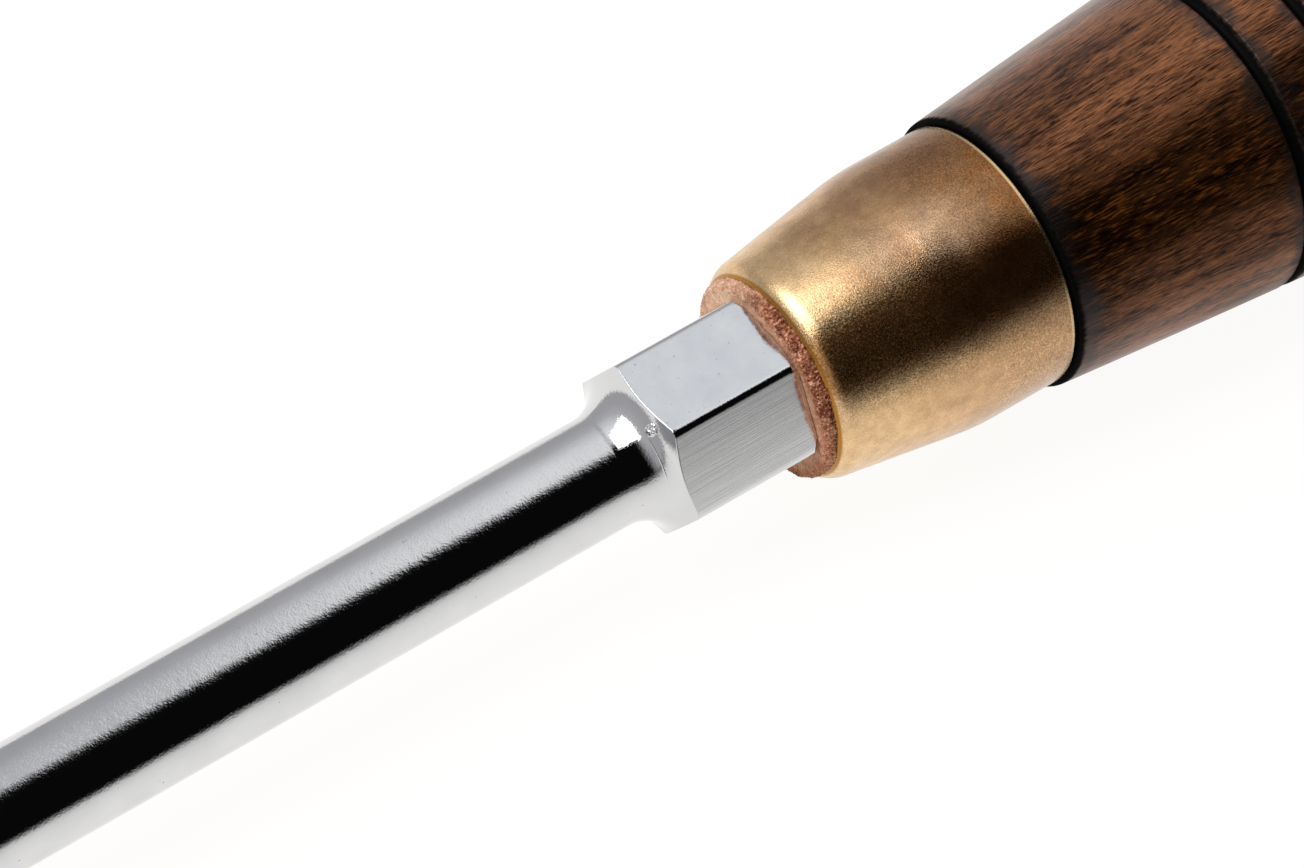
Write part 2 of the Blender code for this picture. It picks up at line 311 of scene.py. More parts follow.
def back_chamfer(limit):
    """Chamfer at the back of the bolster where its radius is limit: widest at the corners."""
    corner = max(0, (limit - BACK_CORNER_START) / (BOLSTER_CORNER - BACK_CORNER_START))
    return BACK_EDGE + (BACK_CHAMFER - BACK_EDGE) * corner**2


def make_blade():
    """Turns a plain round blade, then moves its points out to the flare, the flats and the back."""
    radii, heights = flare_curve()
    flare_start = heights[0]
    tip = [(0, BLADE_LENGTH), (TIP_END_RADIUS, BLADE_LENGTH), (TIP_BLUNT_RADIUS, TIP_BLUNT_Z)]
    shank = [(SHANK_RADIUS, z) for z in stations(SHANK_END_Z, flare_start, SHANK_STEPS)]
    flare = [(SHANK_RADIUS, z) for z in stations(flare_start, BOLSTER_LENGTH, FLARE_STEPS)]
    flats = [(SHANK_RADIUS, BOLSTER_LENGTH * (1 - share)) for share in FLAT_SHARES]
    back = [(BACK_RADIUS, BOLSTER_BACK_Z), (0, BOLSTER_BACK_Z)]
    blade = turned("blade", tip + shank + flare + flats + back, FLAT_COUNT * (STRIP_STEPS + FLAT_STEPS))
    lengths = [0]
    for i in range(CURVE_STEPS):
        lengths.append(lengths[-1] + hypot(radii[i + 1] - radii[i], heights[i + 1] - heights[i]))
    points = points_of(blade)
    for i, (x, y, z) in enumerate(points):
        radius = hypot(x, y)
        if radius < CLOSE:
            continue
        angle = column_angle((atan2(y, x) - BOLSTER_TURN) % (2 * pi))
        limit = hexagon_radius(angle)
        chamfer = back_chamfer(limit)
        if abs(radius - BACK_RADIUS) < CLOSE and z < 0:
            radius = limit - chamfer
        elif abs(radius - SHANK_RADIUS) < CLOSE and z < flare_start - CLOSE:
            end = np.interp(limit, radii, lengths)
            if z > BOLSTER_LENGTH + CLOSE:
                along = end * (flare_start - z) / (flare_start - BOLSTER_LENGTH)
                radius = np.interp(along, lengths, radii)
                z = np.interp(along, lengths, heights)
            else:
                flat_back = BOLSTER_BACK_Z + chamfer
                flat_front = np.interp(end, lengths, heights)
                radius = limit
                z = flat_back + (flat_front - flat_back) * z / BOLSTER_LENGTH
        points[i] = (radius * cos(angle + BOLSTER_TURN), radius * sin(angle + BOLSTER_TURN), z)
    move_points(blade, points)
    return blade


def on_a_flat(centre, normal):
    """Whether a face lies on a flat of the bolster, given in the tool's own axes."""
    return 0 < centre.z < FLATS_END_Z and any(normal.dot(way) > FLAT_ALIGNMENT for way in FLAT_WAYS)


def round_flat_edges(blade):
    """Rounds the borders of the six flats over a little."""
    only(blade)
    bpy.ops.object.mode_set(mode="EDIT")
    bpy.ops.mesh.select_mode(type="FACE")
    bpy.ops.mesh.select_all(action="DESELECT")
    bpy.ops.object.mode_set(mode="OBJECT")
    for face in blade.data.polygons:
        face.select = on_a_flat(face.center, face.normal)
    bpy.ops.object.mode_set(mode="EDIT")
    bpy.ops.mesh.region_to_loop()
    bpy.ops.mesh.bevel(offset=FLAT_EDGE, segments=3, affect="EDGES")
    bpy.ops.mesh.select_mode(type="VERT")
    bpy.ops.object.mode_set(mode="OBJECT")


def make_tip_flutes(blade):
    """Cuts the flutes that leave a cross at the tip."""
    lean = atan2(SHANK_RADIUS - TIP_WEB, TIP_FLUTE_LENGTH)
    depth = 2 * (TIP_FLUTE_LENGTH + TIP_FLUTE_RUNOUT)
    for i in range(TIP_FLUTE_COUNT):
        bpy.ops.object.select_all(action="DESELECT")
        bpy.ops.mesh.primitive_cylinder_add(vertices=4, radius=TIP_FLUTE_SIZE, depth=depth)
        cutter = bpy.context.object
        cutter.matrix_world = (
            Matrix.Rotation(2 * pi / TIP_FLUTE_COUNT * i, 4, "Z")
            @ Matrix.Translation((TIP_WEB, 0, BLADE_LENGTH))
            @ Matrix.Rotation(-lean, 4, "Y")
            @ Matrix.Translation((TIP_FLUTE_SIZE, 0, 0))
        )
        only(cutter)
        bpy.ops.object.transform_apply(location=True, rotation=True, scale=True)
        cut(blade, cutter)


def make_tang():
    """The square tang behind the bolster, with its rivet end."""
    bpy.ops.object.select_all(action="DESELECT")
    length = TANG_FRONT_Z - GRIP_END_Z
    middle = (0, 0, TANG_FRONT_Z - length / 2)
    bpy.ops.mesh.primitive_cube_add(size=1, location=middle, scale=(TANG_SIDE, TANG_SIDE, length))
    tang = bpy.context.object
    tang.name = "tang"
    bpy.ops.object.transform_apply(location=True, rotation=True, scale=True)
    bpy.ops.object.mode_set(mode="EDIT")
    bpy.ops.mesh.select_all(action="SELECT")
    bpy.ops.mesh.bevel(offset=TANG_EDGE, segments=2, affect="EDGES")
    bpy.ops.object.mode_set(mode="OBJECT")
    root_z = GRIP_END_Z + RIVET_ROOT
    outline = [(0, root_z), (RIVET_RADIUS, root_z), (RIVET_RADIUS, CAP_FACE_Z + RIVET_NECK)]
    outline += [(RIVET_HEAD_RADIUS, CAP_FACE_Z + RIVET_HEAD_RIM)]
    outline += [(radius, CAP_FACE_Z + height) for radius, height in RIVET_CROWN]
    join(tang, turned("rivet_end", outline, RIVET_STEPS))
    return tang


blade = make_blade()
round_flat_edges(blade)
make_tip_flutes(blade)
join(blade, make_tang())
place(blade, smooth=25)
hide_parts("blade")


# The leather washer in front of the ferrule, with a ragged cut edge of waves, fibres and fuzz
FIBRES = (("CLOUDS", 0.0022, 0.00034), ("MUSGRAVE", 0.00030, 0.00018), ("CLOUDS", 0.00014, 0.00015))


def rough_leather(ring, radius):
    """Roughens the cut edge by the kind, size and height of its fibres, and the smooth faces a little."""
    edge = ring.vertex_groups.new(name="edge")
    for i, (x, y, z) in enumerate(points_of(ring)):
        depth = radius - hypot(x, y)
        share = 1 - min(1, max(0, depth - CUT_EDGE_DEPTH) / CUT_EDGE_FADE)
        edge.add([i], max(share, FACE_ROUGHNESS), "REPLACE")
    for kind, size, height in FIBRES:
        fibres = bpy.data.textures.new("leather_fibres", kind)
        fibres.noise_scale = size
        if kind == "MUSGRAVE":
            fibres.musgrave_type = "RIDGED_MULTIFRACTAL"
        push = ring.modifiers.new("fibres", "DISPLACE")
        push.texture = fibres
        push.texture_coords = "LOCAL"
        push.vertex_group = "edge"
        push.strength = height
        push.mid_level = 0.5
        apply_modifier(ring, "fibres")


def make_leather(name, radius, hole, front, back, rounding, steps):
    """A turned leather ring, with a rounding of (across, along) at the front of its cut edge."""
    across, along = rounding
    edge = LEATHER_BACK_EDGE
    inner = hole + (radius - across - hole) * LEATHER_FINE_SHARE
    fine_end = front - along - LEATHER_FINE_DEPTH
    outline = [(r, front) for r in stations(hole, inner, 5) + stations(inner, radius - across, 14)]
    outline += arc((radius - across, front - along), (across, along), 90, 0, 26)
    outline += [(radius, z) for z in stations(front - along, fine_end, 14)[1:]]
    outline += [(radius, z) for z in stations(fine_end, back + edge, 8)]
    outline += arc((radius - edge, back + edge), (edge, edge), 0, -90, 3)
    outline += [(hole, back), (hole, front)]
    ring = turned(name, outline, steps)
    rough_leather(ring, radius)
    return ring


washer = make_leather(
    "bolster_washer",
    WASHER_RADIUS,
    WASHER_HOLE_RADIUS,
    WASHER_FRONT_Z,
    WASHER_BACK_Z,
    WASHER_ROUNDING,
    WASHER_STEPS,
)
place(washer, smooth=60)
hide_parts("bolster_washer")


# The brass ferrule
def make_ferrule():
    """A rolled lip at the mouth, a cone that bends into a straight band, and the bore inside."""
    rim = FERRULE_RIM
    lean = radians(LIP_LEAN)
    lip_centre = (MOUTH_RADIUS - LIP_RADIUS * cos(lean), MOUTH_Z - LIP_RADIUS * sin(lean))
    outside = arc(lip_centre, (LIP_RADIUS, LIP_RADIUS), LIP_LEAN, CONE_LEAN, 24)
    shoulder = arc((FERRULE_RADIUS - CONE_BEND, CONE_BACK_Z), (CONE_BEND, CONE_BEND), CONE_LEAN, 0, 16)
    (radius, z), (next_radius, next_z) = outside[-1], shoulder[0]
    outside += [(radius + (next_radius - radius) * s, z + (next_z - z) * s) for s in stations(0, 1, 16)[1:]]
    outside += shoulder
    outside += [(FERRULE_RADIUS, z) for z in stations(CONE_BACK_Z, FERRULE_BACK_Z + 2 * rim, 8)[1:]]
    outside += arc((FERRULE_RADIUS - rim, FERRULE_BACK_Z + rim), (rim, rim), 0, -90, 5)
    inside = [
        (FERRULE_RADIUS - FERRULE_WALL, FERRULE_BACK_Z),
        (FERRULE_RADIUS - FERRULE_WALL, SEAT_Z),
        (BORE_MOUTH_RADIUS, BORE_MOUTH_Z),
        (MOUTH_RADIUS, MOUTH_Z),
    ]
    return turned("ferrule", outside + inside, FERRULE_STEPS)


ferrule = make_ferrule()
place(ferrule, smooth=40)
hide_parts("ferrule")


# The wooden handle, with distances measured from the front of the grip
SHOULDER_END = 0.0015
BUTT_ROUND_START = GRIP_LENGTH - 0.012
BUTT_ROUND_END = GRIP_LENGTH - 0.0001
RING_REACH = 0.0009

# Only the outside of the grip, beyond this radius, is fluted
FLUTED_RADIUS = 0.0113


def grip_radius(distance):
    if distance <= SWELL_DISTANCE:
        third = GRIP_FRONT_RADIUS + GRIP_SLOPE * SWELL_DISTANCE / 3
        return bezier(GRIP_FRONT_RADIUS, third, SWELL_RADIUS, SWELL_RADIUS, distance / SWELL_DISTANCE)
    share = (distance - SWELL_DISTANCE) / (GRIP_LENGTH - SWELL_DISTANCE)
    return GRIP_END_RADIUS + (SWELL_RADIUS - GRIP_END_RADIUS) * sqrt(max(0, 1 - share**3))


def flute_depth(distance, angle):
    share = min(distance - FLUTE_START, FLUTE_END - distance, FLUTE_RUNOUT) / FLUTE_RUNOUT
    if share <= 0:
        return 0
    return FLUTE_DEPTH * share**2 * (3 - 2 * share) * ((1 + cos(FLUTE_COUNT * angle)) / 2) ** 2


def ring_depth(distance):
    depth = 0
    for ring in RING_DISTANCES:
        off = abs(distance - ring) / (RING_WIDTH / 2)
        if off < RING_SPREAD:
            depth = max(depth, RING_DEPTH * cos(pi / 2 * off / RING_SPREAD) ** RING_HOLLOW)
    return depth


def make_handle():
    """Turns the nose and the grip with its two rings, then sinks the flutes into the grip."""
    distances = stations(GRIP_SHOULDER, SHOULDER_END, 8)
    distances += stations(SHOULDER_END, BUTT_ROUND_START, 84)
    distances += stations(BUTT_ROUND_START, BUTT_ROUND_END, 26)
    for ring in RING_DISTANCES:
        distances += stations(ring - RING_REACH, ring + RING_REACH, 24)
    shoulder, edge = GRIP_SHOULDER, GRIP_END_EDGE
    outline = [(HANDLE_BORE_RADIUS, WASHER_BACK_Z), (NOSE_FRONT_RADIUS, WASHER_BACK_Z)]
    outline += [(NOSE_BACK_RADIUS, SEAT_Z), (NOSE_BACK_RADIUS, GRIP_FACE_Z)]
    outline += arc((grip_radius(0) - shoulder, GRIP_FACE_Z - shoulder), (shoulder, shoulder), 90, 6, 8)
    outline += [(grip_radius(d) - ring_depth(d), GRIP_FRONT_Z - d) for d in sorted(distances)]
    outline += arc((GRIP_END_RADIUS - edge, GRIP_END_Z + edge), (edge, edge), 0, -90, 5)
    outline += [(HANDLE_BORE_RADIUS, GRIP_END_Z), (HANDLE_BORE_RADIUS, WASHER_BACK_Z)]
    handle = turned("handle", outline, HANDLE_STEPS)
    points = points_of(handle)
    for i, (x, y, z) in enumerate(points):
        radius = hypot(x, y)
        if radius > FLUTED_RADIUS:
            share = 1 - flute_depth(GRIP_FRONT_Z - z, atan2(y, x)) / radius
            points[i] = (x * share, y * share, z)
    move_points(handle, points)
    return handle


handle = make_handle()
place(handle, smooth=40)
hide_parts("handle")


# The leather and the steel cap at the butt
butt_washer = make_leather(
    "butt_washer",
    BUTT_WASHER_RADIUS,
    BUTT_HOLE_RADIUS,
    GRIP_END_Z,
    CAP_FRONT_Z,
    BUTT_ROUNDING,
    BUTT_STEPS,
)
place(butt_washer, smooth=60)
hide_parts("butt_washer")


def make_cap():
    """A rounded disc with a countersink that the rivet head fills."""
    front, face, sink = CAP_FRONT_EDGE, CAP_FACE_EDGE, CAP_SINK_EDGE
    outline = [(CAP_HOLE_RADIUS, CAP_FRONT_Z), (CAP_RADIUS - front, CAP_FRONT_Z)]
    outline += arc((CAP_RADIUS - front, CAP_FRONT_Z - front), (front, front), 90, 0, 4)[1:]
    outline += [(CAP_RADIUS, CAP_FACE_Z + face)]
    outline += arc((CAP_RADIUS - face, CAP_FACE_Z + face), (face, face), 0, -90, 8)[1:]
    outline += [(RIVET_HEAD_RADIUS + sink, CAP_FACE_Z), (RIVET_HEAD_RADIUS, CAP_FACE_Z + sink)]
    outline += [(CAP_HOLE_RADIUS, CAP_FACE_Z + CAP_SINK_DEPTH), (CAP_HOLE_RADIUS, CAP_FRONT_Z)]
    return turned("striking_cap", outline, CAP_STEPS)


cap = make_cap()
place(cap, smooth=30)
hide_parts("striking_cap")


# Finishes
class Nodes:
    """A node tree and the few node calls that the finishes, the floor and the room share."""

    def __init__(self, tree):
        self.tree = tree

    def node(self, kind, *values, **inputs):
        """A new node, with values for its first sockets in order and for others by name."""
        node = self.tree.nodes.new(kind)
        for i, value in enumerate(values):
            self.feed(node, i, value)
        for name, value in inputs.items():
            self.feed(node, name.replace("_", " "), value)
        return node

    def feed(self, node, socket, value):
        if isinstance(value, bpy.types.NodeSocket):
            self.tree.links.new(value, node.inputs[socket])
        else:
            node.inputs[socket].default_value = value

    def remap(self, value, start, end, low=0.0, high=1.0, blend="SMOOTHSTEP"):
        """Goes from low to high while the value goes from start to end."""
        node = self.node("ShaderNodeMapRange", value, start, end, low, high)
        node.interpolation_type = blend
        return node.outputs["Result"]

    def math(self, operation, a, b=0.0):
        node = self.node("ShaderNodeMath", a, b)
        node.operation = operation
        return node.outputs[0]

    def times(self, a, b):
        return self.math("MULTIPLY", a, b)

    def weighted(self, a, b, share):
        """A share of the first value and the rest of the second."""
        return self.math("ADD", self.times(a, share), self.times(b, 1 - share))

    def vector_math(self, operation, *vectors):
        node = self.node("ShaderNodeVectorMath", *vectors)
        node.operation = operation
        return node.outputs

    def ramp(self, value, stops):
        node = self.node("ShaderNodeValToRGB", value)
        elements = node.color_ramp.elements
        while len(elements) < len(stops):
            elements.new(0.5)
        for element, (position, colour) in zip(elements, stops):
            element.position = position
            element.color = (*colour, 1)
        return node.outputs["Color"]

    def mix(self, share, a, b, kind="MIX"):
        node = self.node("ShaderNodeMix")
        node.data_type = "RGBA"
        node.blend_type = kind
        for socket, value in ((0, share), (6, a), (7, b)):
            self.feed(node, socket, value)
        return node.outputs[2]

    def tinted(self, colour, *tints):
        """A colour multiplied by each (share, tint) in turn."""
        for share, tint in tints:
            colour = self.mix(share, colour, tint, "MULTIPLY")
        return colour


class Finish(Nodes):
    """A material whose patterns follow the tool's own axes, in millimetres from the bolster's back."""

    def __init__(self, name):
        self.material = bpy.data.materials.new(name)
        self.material.use_nodes = True
        super().__init__(self.material.node_tree)
        self.shader = self.tree.nodes["Principled BSDF"]
        self.tool_place = None

    def set(self, **inputs):
        for name, value in inputs.items():
            self.feed(self.shader, name.replace("_", " "), value)

    def tool_mm(self):
        """Object coordinates turned to the tool's own axes."""
        if self.tool_place is None:
            mapping = self.node("ShaderNodeMapping", self.node("ShaderNodeTexCoord").outputs["Object"])
            mapping.vector_type = "TEXTURE"
            self.feed(mapping, "Location", tool.to_translation())
            self.feed(mapping, "Rotation", tool.to_euler())
            self.feed(mapping, "Scale", (1 / MM, 1 / MM, 1 / MM))
            self.tool_place = mapping.outputs["Vector"]
        return self.tool_place

    def stretched(self, scale, shift=(0, 0, 0)):
        return self.node("ShaderNodeMapping", self.tool_mm(), Scale=scale, Location=shift).outputs["Vector"]

    def axis(self, name):
        return self.node("ShaderNodeSeparateXYZ", self.tool_mm()).outputs[name]

    def across(self):
        """Distance from the tool's axis."""
        return self.vector_math("LENGTH", self.stretched((1, 1, 0)))["Value"]

    def facing(self, angle):
        """1 on the side at this angle about the axis, in degrees from the top, and -1 opposite to it."""
        outward = self.vector_math("NORMALIZE", self.stretched((1, 1, 0)))["Vector"]
        way = (cos(radians(angle)), sin(radians(angle)), 0)
        return self.vector_math("DOT_PRODUCT", outward, way)["Value"]

    def band(self, value, centre, core, fade):
        """1 within core of a station and 0 beyond fade."""
        off = self.math("ABSOLUTE", self.math("SUBTRACT", value, centre))
        return self.remap(off, core, fade, 1.0, 0.0)

    def spot(self, place, core, fade):
        """1 within core of a place on the tool and 0 beyond fade."""
        gap = self.vector_math("DISTANCE", self.tool_mm(), place)["Value"]
        return self.remap(gap, core, fade, 1.0, 0.0)

    def noise(self, scale, detail=2.0, roughness=0.5, distortion=0.0, stretch=(1, 1, 1), shift=(0, 0, 0)):
        node = self.node(
            "ShaderNodeTexNoise",
            Vector=self.stretched(stretch, shift),
            Scale=scale,
            Detail=detail,
            Roughness=roughness,
            Distortion=distortion,
        )
        return node.outputs["Fac"]

    def wavy(self, value, reach, scale, roughness=0.5, stretch=(1, 1, 1)):
        """A value that wavers by reach to either side."""
        noise = self.noise(scale, detail=3.0, roughness=roughness, stretch=stretch)
        return self.math("ADD", value, self.remap(noise, 0.3, 0.7, -reach, reach))

    def bump(self, height, distance, normal=None):
        node = self.node("ShaderNodeBump", Height=height, Distance=distance, Strength=1.0)
        if normal is not None:
            self.feed(node, "Normal", normal)
        return node.outputs["Normal"]


# Marks and patina on the metal, and a painted highlight and painted shade on the brass, in millimetres on the
# tool's own axes
DENT_PLACE = (5.28, -2.75, 11.95)
TURNING_MARK_Z = 12.35
PAINTED_HIGHLIGHT_PLACE = (10.4, -3.7, -15.5)
PAINTED_SHADE_PLACE = (10.1, -2.4, -9.6)
PATINA_HEIGHT = 11.0


def chrome_finish():
    """Bright, with a fine orange peel, a few pits, a dent and a turning mark at the flare."""
    f = Finish("bright_chrome")
    peel = f.noise(1.6)
    fine = f.noise(5.6, detail=3.0, roughness=0.55)
    pits = f.remap(f.noise(3.1, detail=1.0, shift=(7, 3, 1)), 0.78, 0.83)
    dent = f.times(f.spot(DENT_PLACE, 0.25, 0.60), f.noise(3.6, detail=1.0))
    lower_side = f.facing(295)
    mark = f.times(f.band(f.axis("Z"), TURNING_MARK_Z, 0.0, 0.05), f.remap(lower_side, 0.70, 0.90))
    tint = f.ramp(f.noise(0.25), [(0.3, (0.66, 0.66, 0.665)), (0.7, (0.71, 0.71, 0.715))])
    f.set(Base_Color=f.mix(pits, tint, (0.30, 0.30, 0.30, 1)), Metallic=1.0)
    f.set(Roughness=f.remap(fine, 0.3, 0.7, 0.035, 0.065))
    surface = f.bump(fine, 9e-6, f.bump(peel, 8e-6))
    f.set(Normal=f.bump(mark, 1.2e-5, f.bump(dent, 2.5e-4, surface)))
    return f.material


def polished_flat_finish():
    """Cloudy polish with faint lines along the tool and a few pits."""
    f = Finish("polished_flats")
    lines = f.noise(5.0, detail=3.0, roughness=0.6, stretch=(1, 1, 0.02))
    pits = f.remap(f.noise(3.0), 0.70, 0.76)
    tint = f.ramp(f.noise(0.35), [(0.3, (0.63, 0.65, 0.68)), (0.7, (0.70, 0.71, 0.72))])
    f.set(Base_Color=f.mix(pits, tint, (0.42, 0.42, 0.43, 1)), Metallic=1.0)
    f.set(Roughness=f.remap(f.noise(1.2, detail=3.0), 0.3, 0.7, 0.11, 0.17))
    f.set(Normal=f.bump(f.noise(5.5, detail=3.0), 8e-6, f.bump(lines, 2.5e-6)))
    return f.material


def ground_flat_finish():
    """Fine grinding lines along the tool."""
    f = Finish("ground_flats")
    lines = f.noise(13.0, detail=3.0, roughness=0.6, stretch=(1, 1, 0.012))
    broad = f.noise(1.1, stretch=(1, 1, 0.03))
    tint = f.ramp(lines, [(0.3, (0.83, 0.83, 0.84)), (0.5, (0.93, 0.93, 0.935)), (0.7, (0.98, 0.98, 0.98))])
    f.set(Base_Color=tint, Metallic=1.0, Roughness=f.remap(lines, 0.3, 0.7, 0.13, 0.19))
    f.set(Normal=f.bump(broad, 5e-6, f.bump(lines, 4.5e-6)))
    return f.material


# Colours of the brass, from the wood to the mouth
BRASS_GOLDS = (
    (0.0, (0.53, 0.335, 0.19)),
    (0.30, (0.63, 0.40, 0.22)),
    (0.60, (0.73, 0.475, 0.26)),
    (0.85, (0.80, 0.545, 0.30)),
    (1.0, (0.83, 0.575, 0.325)),
)


def brass_finish():
    """Golden at the mouth and duller towards the wood, with a brown patina on the upper side, a painted
    highlight, painted shade and a painted shadow at the mouth.
    """
    f = Finish("aged_brass")
    z = f.axis("Z")
    near_side = f.facing(313)
    crown = f.facing(349)
    gold = f.ramp(f.remap(f.wavy(z, 2.0, 0.35), -22.0, 0.0), BRASS_GOLDS)
    clouds = f.noise(0.9, detail=4.0, roughness=0.6)
    mottle = f.ramp(clouds, [(0.36, (0.88, 0.86, 0.83)), (0.64, (1.09, 1.08, 1.06))])
    grain = f.noise(7.4, detail=3.0, roughness=0.65)
    specks = f.ramp(grain, [(0.38, (0.54, 0.50, 0.46)), (0.62, (1.32, 1.30, 1.27))])
    specked = f.math("MAXIMUM", f.remap(near_side, 0.80, 0.95, 0.30, 1.0), f.remap(z, -12.0, -17.0, 0.0, 0.9))
    upper = f.remap(f.wavy(f.math("DIVIDE", f.axis("X"), PATINA_HEIGHT), 0.2, 0.3), 0.45, 0.95)
    stain = f.remap(f.wavy(z, 1.2, 0.6, 0.6), -18.8, -22.0)
    patina_and_painted_light = f.tinted(
        gold,
        (f.times(upper, f.remap(z, -3.0, -8.0)), (0.76, 0.71, 0.68, 1)),
        (f.times(upper, f.remap(z, -12.0, -18.0)), (0.86, 0.76, 0.66, 1)),
        (1.0, mottle),
        # Redder and darker on the near side, painted shade in the dark reflection there
        (f.remap(near_side, 0.945, 0.99), (1.0, 0.74, 0.52, 1)),
        (f.times(stain, f.remap(crown, 0.82, 0.95, 0.0, 0.9)), (1.0, 0.82, 0.56, 1)),
        # A paler patch on the upper brass, a painted highlight
        (f.spot(PAINTED_HIGHLIGHT_PLACE, 0.9, 4.6), (1.40, 1.60, 1.98, 1)),
        # A duller patch in the brightest part of the brass, painted shade
        (f.spot(PAINTED_SHADE_PLACE, 0.6, 4.0), (0.74, 0.80, 0.94, 1)),
        (specked, specks),
    )
    # A dark amber line at the mouth, a painted shadow of the gap by the leather
    mouth = f.mix(f.remap(z, -1.50, -1.34), patina_and_painted_light, (0.42, 0.19, 0.035, 1))
    rim = f.band(z, -21.92, 0.12, 0.28)
    polish = f.remap(z, -9.0, -17.0, 0.0, 0.06)
    f.set(Base_Color=f.mix(rim, mouth, (0.84, 0.59, 0.31, 1)), Metallic=0.975)
    f.set(Roughness=f.math("SUBTRACT", f.remap(grain, 0.35, 0.65, 0.19, 0.28), polish))
    f.set(Normal=f.bump(grain, 1.6e-5))
    return f.material


# Colours of the cut leather, from the darkest to the palest fibres
LEATHER_REDS = (
    (0.42, (0.13, 0.035, 0.016)),
    (0.48, (0.36, 0.115, 0.055)),
    (0.54, (0.60, 0.235, 0.125)),
    (0.61, (0.92, 0.56, 0.37)),
)


def leather_finish(name, radius):
    """Reddish cut edge with pale fibres, and smoother tan faces; paler on the top far side from dust and
    painted light, and warmer low on the near side as painted floor light.
    """
    f = Finish(name)
    fibres = f.noise(4.6, detail=4.0, roughness=0.7, distortion=0.8)
    tufts = f.weighted(fibres, f.noise(1.4, detail=3.0, roughness=0.6), 0.6)
    cut_edge = f.ramp(tufts, LEATHER_REDS)
    smooth = f.ramp(tufts, [(0.38, (0.58, 0.265, 0.145)), (0.62, (0.88, 0.52, 0.33))])
    dust_and_painted_light = f.ramp(tufts, [(0.40, (0.80, 0.47, 0.30)), (0.60, (1.0, 0.74, 0.53))])
    painted_floor_light = f.ramp(tufts, [(0.42, (0.72, 0.26, 0.14)), (0.58, (1.0, 0.60, 0.38))])
    face = f.remap(f.across(), radius * MM - 1.3, radius * MM - 0.4, 0.8, 0.0)
    far_shoulder = f.facing(50)
    lowest = f.facing(245)
    # Paler on the top far side, partly dust and partly painted light
    dust_and_light_on_top = f.mix(f.remap(far_shoulder, 0.55, 1.0, 0.0, 0.68), f.mix(face, cut_edge, smooth), dust_and_painted_light)
    # Warmer and paler low on the near side, painted light from the floor
    colour = f.mix(f.remap(lowest, 0.70, 1.0, 0.0, 0.85), dust_and_light_on_top, painted_floor_light)
    f.set(Base_Color=colour, Roughness=0.8, Specular_IOR_Level=0.3)
    f.set(Normal=f.bump(fibres, 6e-5))
    return f.material


# Colours and sheens of the wood, from the darkest to the palest grain
WOOD_STAINS = (
    (0.37, (0.002, 0.001, 0.0006)),
    (0.47, (0.008, 0.0028, 0.001)),
    (0.55, (0.020, 0.0065, 0.002)),
    (0.64, (0.045, 0.014, 0.0035)),
)
WOOD_SHEENS = ((0.37, (0.10, 0.035, 0.015)), (0.45, (0.53, 0.215, 0.11)), (0.54, (1.0, 0.42, 0.20)))


